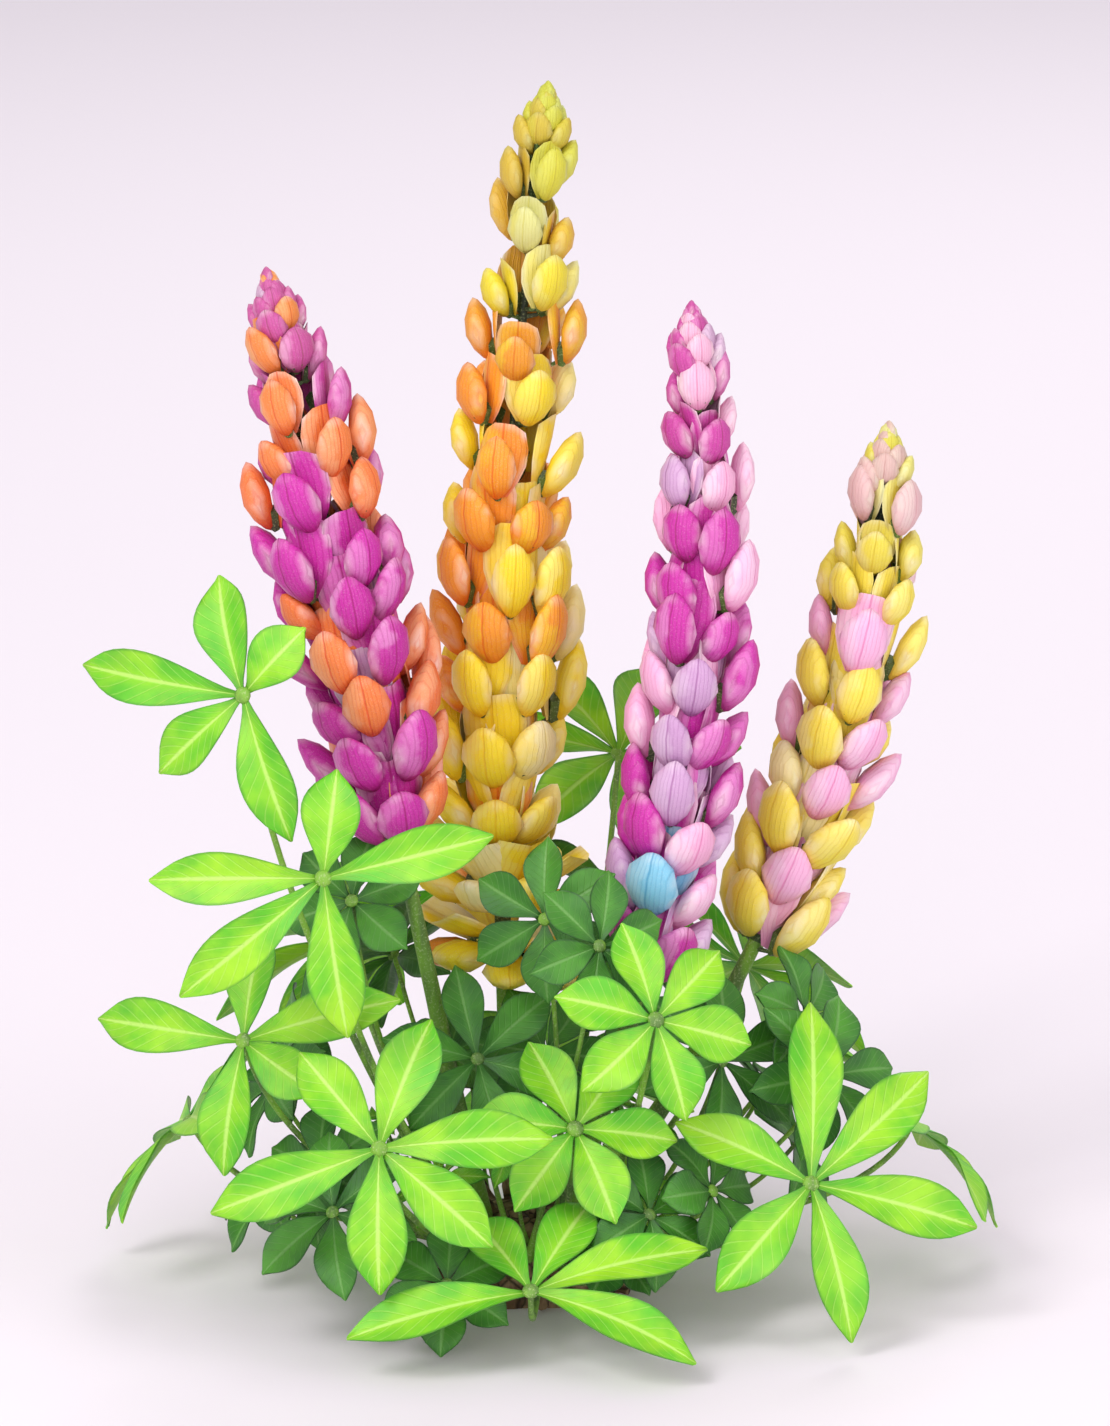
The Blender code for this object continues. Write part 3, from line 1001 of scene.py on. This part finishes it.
@dataclass(frozen=True)
class Leaflet:
    """One leaflet: widest past its middle, folded along the midrib, arching at the tip.

    It runs out from the hub along X, Y runs across it and Z is its upper side.
    """

    length: float
    sway: float
    twist: float
    width: float
    phase: float

    cells: tuple[int, int] = (6, 14)
    thickness: float = 0.0007
    foot: float = 0.0030
    rise: float = math.tan(math.radians(9))
    arch: float = 0.25
    ripple: float = 0.0011

    def point(self, across: float, along: float) -> Vector:
        """A point of the leaflet.

        Args:
            across: Its place from side to side, -1 to 1.
            along: Its place from foot to tip, 0 to 1.

        Returns:
            The point.
        """
        half = self.width * math.sin(math.pi * min(0.985, along**1.50 + 0.015)) ** 0.70
        half = max(half, 0.0011 if along < 0.5 else 0.0003)
        side = across * half
        out = self.foot + along * (self.length - self.foot)
        lift = out * (self.rise - self.arch * along)
        fold = 0.34 * abs(side) * (1 - 0.4 * along) + 4.0 * side**2
        wave = self.ripple * math.sin(9 * along + self.phase) * abs(across)
        turn = self.twist * along**2
        return Vector(
            (
                out - 0.0015 * across**2 * along,
                side * math.cos(turn) + self.sway * out * along,
                lift + fold + wave + side * math.sin(turn),
            )
        )


@dataclass(frozen=True)
class Leaf:
    """One palmate leaf: a long stalk with a ring of folded leaflets at its end."""

    name: str
    foot: Vector
    hub: Vector
    facing: float
    tilt: float
    leaflets: Leaflets
    width: float = 0.0145
    stalk_radius: float = 0.0020
    freshness: float = 0.5

    stalk_steps: int = 18
    root_depth: float = 0.003
    hub_lift: float = 0.0006
    knob_size: float = 2.2

    def normal(self) -> Vector:
        """The direction that the upper face looks in.

        Returns:
            The direction, one long.
        """
        tilt, azimuth = math.radians(self.tilt), math.radians(self.facing)
        flat, up = math.sin(tilt), math.cos(tilt)
        return Vector((flat * math.cos(azimuth), flat * math.sin(azimuth), up))

    def bend(self) -> Vector:
        """The stalk's control point, behind the hub and well below it."""
        return self.hub - self.normal() * 0.030 - Vector((0, 0, 0.35 * self.hub.z))

    def add_petiole(self, shape: Shape) -> None:
        """The stalk, swelling at its foot, with the small round hub at its end.

        Args:
            shape: The bmesh to add it to.
        """
        start = self.foot + (self.foot - self.bend()).normalized() * self.root_depth
        end = self.hub - self.normal() * self.hub_lift
        shares = [number / self.stalk_steps for number in range(self.stalk_steps + 1)]
        path = [bezier(start, self.bend(), end, share) for share in shares]
        swell = [1 - 0.3 * share + 0.9 * (1 - share) ** 16 for share in shares]
        radii = [self.stalk_radius * more for more in swell]
        sweep(shape, path, radii, 8)
        knob = bmesh.ops.create_uvsphere(shape, u_segments=12, v_segments=8, radius=1.0)
        size = self.knob_size * self.stalk_radius
        bmesh.ops.scale(shape, vec=(size, size, 0.55 * size), verts=knob["verts"])
        place = turned_to(self.hub + self.normal() * self.hub_lift, self.normal())
        bmesh.ops.transform(shape, matrix=place, verts=knob["verts"])

    def add_leaflet(
        self, shape: Shape, azimuth: float, length: float, dice: random.Random
    ) -> None:
        """One leaflet, pointing away from the hub.

        Args:
            shape: The bmesh to add it to.
            azimuth: Which way it points, round the hub.
            length: How far it reaches from the hub.
            dice: The throws that make each leaflet a little different.
        """
        fresh = 2 * self.freshness * dice.uniform(0.0, 1.0)
        leaflet = Leaflet(
            length=length,
            sway=dice.uniform(-0.05, 0.05),
            twist=dice.uniform(-0.16, 0.16),
            width=self.width * dice.uniform(0.90, 1.06),
            phase=dice.uniform(0, 6.28),
        )
        sheet = thin_sheet(
            shape, leaflet.cells, leaflet.thickness, leaflet.point, fresh=fresh
        )
        bmesh.ops.rotate(shape, matrix=Matrix.Rotation(azimuth, 3, "Z"), verts=sheet)

    def add_blade(self, shape: Shape) -> None:
        """All the leaflets, in place round the hub.

        Args:
            shape: The bmesh to add them to.
        """
        dice = random.Random(self.name)
        known = set(shape.verts)
        for degrees, millimetres in self.leaflets:
            self.add_leaflet(shape, math.radians(degrees), millimetres / 1000, dice)
        blade = [vert for vert in shape.verts if vert not in known]
        place = turned_to(self.hub, self.normal())
        bmesh.ops.transform(shape, matrix=place, verts=blade)

    def build(self, green: Material, stalk: Material) -> None:
        """The leaf as two pieces, its stalk and its leaflets, that stand for two nodes.

        Args:
            green: The finish of the leaflets.
            stalk: The finish of the stalk.
        """
        shape = new_shape()
        self.add_petiole(shape)
        node = f"{self.name}_petiole"
        piece(f"{self.name}_stalk", shape, [stalk], node)
        shape = new_shape(*LEAF_LAYERS)
        self.add_blade(shape)
        name, node = f"{self.name}_leaflets", f"{self.name}_blade"
        piece(name, shape, [green], node, LEAF_CREASE)

    def build_whole(self, green: Material, stalk: Material) -> None:
        """A small leaf in one piece.

        Args:
            green: The finish of the leaflets.
            stalk: The finish of the stalk.
        """
        shape = new_shape(*LEAF_LAYERS)
        self.add_petiole(shape)
        for face in shape.faces:
            face.material_index = 1
        self.add_blade(shape)
        piece(self.name, shape, [green, stalk], None, LEAF_CREASE)


@dataclass(frozen=True)
class Crown:
    """The woody crown: a knotty dome, cut level, with leaf scales and cut roots."""

    radius: float = 0.052
    height: float = 0.044
    middle: float = 0.006
    furrows: int = 13
    roots: int = 9
    scales: int = 34
    scale_turn: float = 137.5
    scale_seed: int = 7

    def point(self, azimuth: float, angle: float) -> Vector:
        """A point on the dome.

        Args:
            azimuth: Its compass angle, in degrees.
            angle: Its angle down from the top, in degrees.

        Returns:
            The point.
        """
        around, down = math.radians(azimuth), math.radians(angle)
        return Vector(
            (
                self.radius * math.sin(down) * math.cos(around),
                self.radius * math.sin(down) * math.sin(around),
                self.middle + (self.height - self.middle) * math.cos(down),
            )
        )

    def build_rootstock(self, bark: Material) -> None:
        """The dome, with knots and furrows, and the stubs of the roots that were cut.

        Args:
            bark: The finish.
        """
        shape = new_shape()
        bmesh.ops.create_uvsphere(shape, u_segments=72, v_segments=40, radius=1.0)
        rise = self.height - self.middle
        for vert in shape.verts:
            knot = noise.noise(vert.co * 3.1) * 0.055
            knot += noise.noise(vert.co * 9.0) * 0.030
            around = math.atan2(vert.co.y, vert.co.x)
            furrow = 0.020 * math.sin(self.furrows * around + 4 * vert.co.z)
            vert.co *= 0.965 + knot + furrow * (1 - abs(vert.co.z))
        bmesh.ops.scale(shape, vec=(self.radius, self.radius, rise), verts=shape.verts)
        bmesh.ops.translate(shape, vec=(0, 0, self.middle), verts=shape.verts)
        cut = bmesh.ops.bisect_plane(
            shape,
            geom=shape.verts[:] + shape.edges[:] + shape.faces[:],
            plane_co=(0, 0, 0),
            plane_no=(0, 0, 1),
            clear_inner=True,
        )
        rim = [part for part in cut["geom_cut"] if isinstance(part, bmesh.types.BMEdge)]
        bmesh.ops.contextual_create(shape, geom=rim)
        step = 360 / self.roots
        for number in range(self.roots):
            azimuth = math.radians(step * number + 11 * math.sin(5 * number))
            out = self.radius * Vector((math.cos(azimuth), math.sin(azimuth), 0))
            thick = 0.0034 + 0.0012 * math.sin(3 * number)
            level = thick + 0.0012
            path = [
                out * share + Vector((0, 0, level + lift))
                for share, lift in ((0.80, 0.003), (0.98, 0.0010), (1.12, 0.0))
            ]
            sweep(shape, path, [thick * 1.3, thick, 0.86 * thick], 10)
        piece("woody_crown", shape, [bark], "crown", BARK_CREASE)

    def build_scales(self, bark: Material) -> None:
        """The papery brown bases of last year's leaves, round the foot of the stalks.

        Args:
            bark: The finish.
        """
        shape = new_shape()
        dice = random.Random(self.scale_seed)
        for number in range(self.scales):
            angle = 14 + 62 * (number / self.scales) ** 0.8
            foot = self.point(number * self.scale_turn, angle)
            out = Vector((foot.x, foot.y, 0.6 * foot.z + 0.012)).normalized()
            length = dice.uniform(0.009, 0.017)
            tip = foot + out * length + Vector((0, 0, 0.004))
            path = [foot - out * 0.003, foot + out * 0.5 * length, tip]
            sweep(shape, path, [0.0036, 0.0026, 0.0004], 6)
        piece("old_leaf_bases", shape, [bark])


@dataclass(frozen=True)
class Lamp:
    """One soft square light: where it is, its watts and its side in metres."""

    name: str
    place: Vector
    power: float
    side: float

    def build(self, aim: Vector) -> None:
        """Hangs the light, out of the camera's sight.

        Args:
            aim: The point that it faces.
        """
        lamp = bpy.data.lights.new(self.name, "AREA")
        lamp.energy, lamp.size = self.power, self.side
        light = bpy.data.objects.new(self.name, lamp)
        light.location = self.place
        light.visible_camera = False
        light.rotation_mode = "QUATERNION"
        light.rotation_quaternion = (aim - self.place).to_track_quat("-Z", "Y")
        bpy.context.scene.collection.objects.link(light)


@dataclass(frozen=True)
class Studio:
    """A pale floor, soft lights and a long lens at the picture's angle."""

    aim: Vector = field(default_factory=lambda: Vector((0.0120, 0.0, 0.300)))
    elevation: float = math.radians(14)
    distance: float = 4.5
    frame_height: float = 0.721
    sensor: float = 36.0
    reach: tuple[float, float] = (0.1, 80.0)
    floor_radius: float = 40.0
    floor_colour: Colour = (0.84, 0.78, 0.83)
    sky_colour: Colour = (0.90, 0.87, 0.92)
    sky_strength: float = 0.66

    def build_floor(self) -> None:
        """The floor, a large level sheet."""
        shape = new_shape()
        radius = self.floor_radius
        bmesh.ops.create_circle(shape, cap_ends=True, segments=64, radius=radius)
        mesh = bpy.data.meshes.new("floor")
        shape.to_mesh(mesh)
        shape.free()
        floor = bpy.data.objects.new("floor", mesh)
        bpy.context.scene.collection.objects.link(floor)
        mesh.materials.append(PlainFinish("pale_floor", self.floor_colour).material())

    def build_lights(self) -> None:
        """A key from the upper left, a fill, front and back lights, and a pale sky."""
        for lamp in (
            Lamp("key_light", Vector((-2.4, -2.8, 3.6)), 112.0, 1.8),
            Lamp("fill_light", Vector((3.0, -2.4, 1.8)), 48.0, 2.4),
            Lamp("front_light", Vector((-0.5, -4.2, 2.3)), 56.0, 2.4),
            Lamp("back_light", Vector((0.8, 3.2, 3.0)), 50.0, 2.0),
        ):
            lamp.build(self.aim)
        world = bpy.data.worlds.new("pale_sky")
        world.use_nodes = True
        sky = world.node_tree.nodes["Background"]
        sky.inputs["Color"].default_value = (*self.sky_colour, 1.0)
        sky.inputs["Strength"].default_value = self.sky_strength
        bpy.context.scene.world = world

    def build_camera(self) -> None:
        """The camera, at the picture's angle and framed as the picture is."""
        lens = bpy.data.cameras.new("camera")
        lens.sensor_width = self.sensor
        lens.lens = self.sensor * self.distance / self.frame_height
        lens.clip_start, lens.clip_end = self.reach
        camera = bpy.data.objects.new("camera", lens)
        back = Vector((0, -math.cos(self.elevation), math.sin(self.elevation)))
        camera.location = self.aim + back * self.distance
        camera.rotation_mode = "QUATERNION"
        camera.rotation_quaternion = (-back).to_track_quat("-Z", "Y")
        bpy.context.scene.collection.objects.link(camera)
        bpy.context.scene.camera = camera
        bpy.context.scene.view_settings.view_transform = "Standard"


def ring(count: int, first: float, length: float) -> Leaflets:
    """Leaflets of one length at even steps round the hub."""
    return tuple((first + 360 * index / count, length) for index in range(count))


MAGENTA = PetalColour((0.57, 0.018, 0.35), (0.78, 0.30, 0.62))
ORANGE = PetalColour((0.85, 0.205, 0.045), (0.88, 0.42, 0.20))
LILAC = PetalColour((0.60, 0.34, 0.58), (0.76, 0.56, 0.74))
YELLOW = PetalColour((0.92, 0.71, 0.014), (0.93, 0.83, 0.20))
CREAM = PetalColour((0.91, 0.82, 0.40), (0.92, 0.72, 0.05))
GOLD = PetalColour((0.89, 0.33, 0.016), (0.92, 0.66, 0.02))
PINK = PetalColour((0.86, 0.43, 0.65), (0.89, 0.66, 0.78))
LEMON = PetalColour((0.86, 0.70, 0.07), (0.88, 0.78, 0.30))
SKY_BLUE = PetalColour((0.22, 0.55, 0.74), (0.50, 0.72, 0.80))


@dataclass
class LupinPlant:
    """The whole plant: crown, spikes and leaves, and what each is dressed in."""

    crown: Crown = field(default_factory=Crown)
    young_places: tuple[YoungPlace, ...] = (
        (262, 0.066, 0.092),
        (228, 0.070, 0.070),
        (318, 0.074, 0.064),
        (192, 0.078, 0.092),
        (32, 0.066, 0.078),
        (68, 0.072, 0.082),
        (118, 0.070, 0.096),
        (152, 0.074, 0.066),
    )
    inner_places: tuple[InnerPlace, ...] = (
        (262, (-0.027, -0.059, 0.135), 269, 66, 45, 50),
        (292, (0.007, -0.066, 0.21), 252, 71, 36, 42),
        (269, (0.034, -0.091, 0.203), 295, 72, 12, 39),
        (334, (0.096, -0.046, 0.13), 304, 60, 9, 50),
        (343, (0.139, -0.012, 0.144), 327, 71, 27, 38),
        (238, (-0.106, -0.076, 0.081), 226, 58, 53, 42),
        (223, (-0.09, -0.053, 0.216), 255, 62, 23, 38),
        (312, (0.059, -0.101, 0.066), 307, 55, 16, 40),
        (229, (-0.099, -0.11, 0.07), 247, 51, 49, 47),
        (246, (-0.042, -0.125, 0.037), 266, 52, 28, 37),
        (290, (0.04, -0.101, 0.049), 301, 44, 51, 31),
        (342, (0.091, -0.08, 0.072), 325, 61, 51, 36),
        (202, (-0.132, -0.017, 0.053), 201, 42, 42, 38),
        (353, (0.136, 0.011, 0.07), 352, 65, 19, 47),
        (153, (-0.043, 0.012, 0.116), 228, 37, 47, 40),
        (59, (0.043, 0.033, 0.136), 321, 50, 56, 39),
        (277, (0.007, -0.017, 0.126), 285, 58, 49, 39),
        (116, (-0.071, 0.06, 0.156), 133, 62, 21, 48),
        (36, (0.059, 0.065, 0.152), 55, 68, 54, 50),
        (81, (-0.015, 0.085, 0.202), 78, 65, 2, 53),
        (194, (-0.116, 0.01, 0.13), 199, 69, 49, 48),
        (25, (0.119, 0.048, 0.086), 8, 55, 53, 45),
        (202, (-0.131, -0.021, 0.111), 198, 57, 50, 40),
        (2, (0.149, -0.045, 0.122), 309, 64, 57, 47),
    )

    def spikes(self) -> list[Spike]:
        """The four spikes.

        Returns:
            The spikes, from left to right.
        """
        left = Spike(
            name="left_spike",
            petals=PetalFinish(
                "magenta_and_orange_petals", (MAGENTA, ORANGE, LILAC, PINK)
            ),
            foot=self.crown.point(205, 34),
            bend=Vector((-0.064, -0.048, 0.245)),
            tip=Vector((-0.124, -0.030, 0.502)),
            first_flower=0.47,
            tiers=5,
            radius=0.047,
            weights=(0.58, 0.38, 0.04),
            banner_swap=0.45,
            tip_unripe=0.15,
            seed=3,
        )
        centre = Spike(
            name="centre_spike",
            petals=PetalFinish("yellow_and_gold_petals", (YELLOW, GOLD, CREAM, ORANGE)),
            foot=self.crown.point(110, 26),
            bend=Vector((-0.028, 0.042, 0.310)),
            tip=Vector((0.005, 0.025, 0.586)),
            first_flower=0.225,
            tiers=7,
            radius=0.045,
            weights=(0.56, 0.32, 0.12),
            banner_swap=0.55,
            tip_unripe=0.75,
            seed=5,
            whorl=(6, 4),
            droop=math.radians(70),
        )
        right_centre = Spike(
            name="right_centre_spike",
            petals=PetalFinish(
                "magenta_and_pink_petals", (MAGENTA, PINK, LILAC, SKY_BLUE)
            ),
            foot=self.crown.point(300, 34),
            bend=Vector((0.098, -0.040, 0.260)),
            tip=Vector((0.082, -0.028, 0.484)),
            first_flower=0.30,
            tiers=6,
            radius=0.038,
            weights=(0.54, 0.30, 0.16),
            banner_swap=0.40,
            tip_unripe=0.10,
            seed=8,
            whorl=(5, 4),
            odd_one=Vector((-0.40, -0.88, 0.2)),
        )
        right = Spike(
            name="right_spike",
            petals=PetalFinish("lemon_and_pink_petals", (LEMON, PINK, CREAM, LILAC)),
            foot=self.crown.point(20, 38),
            bend=Vector((0.160, 0.030, 0.205)),
            tip=Vector((0.178, 0.025, 0.412)),
            first_flower=0.38,
            tiers=5,
            radius=0.041,
            weights=(0.46, 0.44, 0.10),
            banner_swap=0.30,
            tip_unripe=0.45,
            seed=11,
            whorl=(5, 4),
        )
        return [left, centre, right_centre, right]

    def leaf(
        self,
        name: str,
        foot_azimuth: float,
        hub: tuple[float, float, float],
        facing: float,
        tilt: float,
        leaflets: Leaflets,
    ) -> Leaf:
        """One full-grown leaf, its foot nearer the crown's top for a higher hub."""
        foot = self.crown.point(foot_azimuth, 70 - 65 * hub[2])
        return Leaf(name, foot, Vector(hub), facing, tilt, leaflets)

    def leaves(self) -> list[Leaf]:
        """The fourteen full-grown leaves.

        Returns:
            The leaves, those that the picture shows first.
        """
        make = self.leaf
        return [
            make("leaf_front_low", 275, (0.000, -0.152, 0.042), 270, 36,
                 ((19, 94), (62, 66), (120, 58), (196, 94), (338, 90))),
            make("leaf_front_left", 252, (-0.075, -0.142, 0.113), 266, 66,
                 ((7, 86), (73, 70), (130, 64), (203, 90), (270, 72), (322, 74))),
            make("leaf_left_low", 214, (-0.144, -0.078, 0.150), 244, 66,
                 ((22, 84), (92, 58), (180, 88), (270, 68), (334, 50))),
            make("leaf_left_middle", 233, (-0.102, -0.136, 0.250), 264, 78,
                 ((15, 86), (82, 54), (180, 88), (222, 94), (279, 80))),
            make("leaf_left_high", 195, (-0.142, -0.100, 0.334), 246, 76,
                 ((50, 46), (112, 62), (178, 94), (226, 62), (296, 76))),
            make("leaf_right_low", 322, (0.140, -0.100, 0.082), 286, 58,
                 ((34, 92), (80, 98), (147, 74), (221, 74), (278, 82), (341, 90))),
            make("leaf_middle_low", 286, (0.022, -0.098, 0.110), 276, 56,
                 ring(6, 52, 52)),
            make("leaf_middle_high", 304, (0.062, -0.110, 0.170), 288, 64,
                 ring(6, 40, 52)),
            make("leaf_right_side", 8, (0.196, 0.030, 0.074), 12, 46,
                 ring(6, 32, 76)),
            make("leaf_back_right", 46, (0.112, 0.128, 0.132), 52, 52,
                 ring(7, 15, 80)),
            make("leaf_back_low", 94, (0.010, 0.150, 0.070), 88, 46,
                 ring(7, 0, 82)),
            make("leaf_back_left", 134, (-0.098, 0.122, 0.150), 128, 56,
                 ring(7, 20, 82)),
            make("leaf_left_side", 176, (-0.176, 0.024, 0.078), 172, 48,
                 ring(6, 25, 76)),
            make("leaf_back_high", 72, (0.045, 0.128, 0.246), 74, 62,
                 ring(7, 10, 72)),
        ]

    def young_leaves(self) -> list[Leaf]:
        """Small leaves still opening between the stems, close over the crown.

        Returns:
            The leaves.
        """
        made: list[Leaf] = []
        for number, (azimuth, out, rise) in enumerate(self.young_places):
            around = math.radians(azimuth)
            made.append(
                Leaf(
                    name=f"young_leaf_{number + 1}",
                    foot=self.crown.point(azimuth + 6, 48),
                    hub=Vector((out * math.cos(around), out * math.sin(around), rise)),
                    facing=azimuth,
                    tilt=40,
                    leaflets=ring(7, 17 * number, 26 + 3 * (number % 3)),
                    width=0.0052,
                    stalk_radius=0.0012,
                    freshness=0.9,
                )
            )
        return made

    def inner_leaves(self) -> list[Leaf]:
        """The shaded leaves that fill the plant's middle, between its stems.

        Returns:
            The leaves.
        """
        made: list[Leaf] = []
        for number, place in enumerate(self.inner_places):
            azimuth, hub, facing, tilt, first, length = place
            name, leaflets = f"inner_leaf_{number + 1}", ring(6, first, length)
            leaf = self.leaf(name, azimuth, hub, facing, tilt, leaflets)
            made.append(replace(leaf, width=0.0115, stalk_radius=0.0016))
        return made

    def build(self) -> None:
        """Builds and dresses every piece."""
        bark = BarkFinish("crown_bark").material()
        stalk = StalkFinish("downy_stalks").material()
        # The cups and the stem among the flowers are dark: a dark flush of their own,
        # with painted shade between the florets.
        cup = StalkFinish(
            "flower_cups", green=(0.09, 0.17, 0.03), flush=(0.05, 0.05, 0.05)
        ).material()
        dark = StalkFinish(
            "dark_flower_stem", green=(0.07, 0.13, 0.03), flush=(0.03, 0.03, 0.04)
        ).material()
        green = LeafFinish("leaf_green").material()
        shaded = LeafFinish(
            name="shaded_leaf_green",
            green=(0.026, 0.15, 0.012),
            light_green_and_highlight=(0.075, 0.30, 0.016),
            shade=(0.010, 0.055, 0.012),
            rib=(0.15, 0.36, 0.08),
        ).material()
        self.crown.build_rootstock(bark)
        self.crown.build_scales(bark)
        for spike in self.spikes():
            petal = spike.petals.material()
            spike.build_stem(stalk, dark)
            for number in range(spike.tiers):
                spike.build_tier(number, petal, cup)
            spike.build_bud_tip(petal, cup)
        for leaf in self.leaves():
            leaf.build(green, stalk)
        for leaf in self.young_leaves():
            leaf.build_whole(green, stalk)
        for leaf in self.inner_leaves():
            leaf.build_whole(shaded, stalk)


def main() -> None:
    """Loads the frame and builds the plant in the studio."""
    logging.basicConfig(level=logging.INFO, format="%(name)s: %(message)s")
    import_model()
    LupinPlant().build()
    studio = Studio()
    studio.build_floor()
    studio.build_lights()
    studio.build_camera()
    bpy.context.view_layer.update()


if __name__ == "__main__":
    main()
